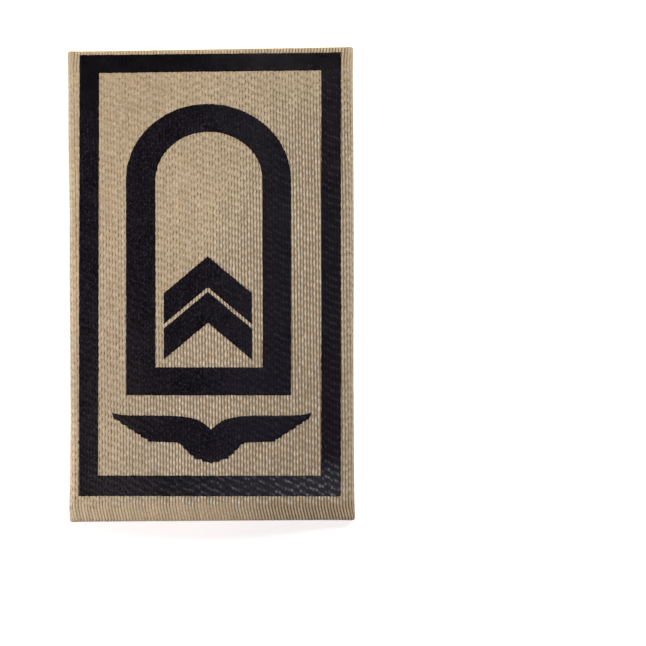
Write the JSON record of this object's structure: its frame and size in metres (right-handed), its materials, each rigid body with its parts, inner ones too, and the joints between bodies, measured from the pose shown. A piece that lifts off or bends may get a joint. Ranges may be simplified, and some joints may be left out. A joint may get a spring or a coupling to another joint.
{
  "type": "rank patch",
  "caption": "Slip-on rank patch: a woven ribbon loop, open at both ends to slide over a shoulder strap, printed with a border, an arch, chevrons and wings.",
  "frame": {"origin": "middle of the loop's underside, where its back lies on the table", "axes": "+Z out of the printed front, +Y up the design and along the passage for the strap, +X to the right as the design is read"},
  "size_m": [0.061, 0.1006, 0.0083],
  "materials": {
    "ribbon": "ribbed satin weave in sand tan",
    "print": "thin blue-black printed film, slightly glossy"
  },
  "bodies": {
    "root": {"sleeve": "ribbon", "border_print": "print", "arch_print": "print", "upper_chevron": "print", "lower_chevron": "print", "wings": "print"}
  },
  "joints": []
}
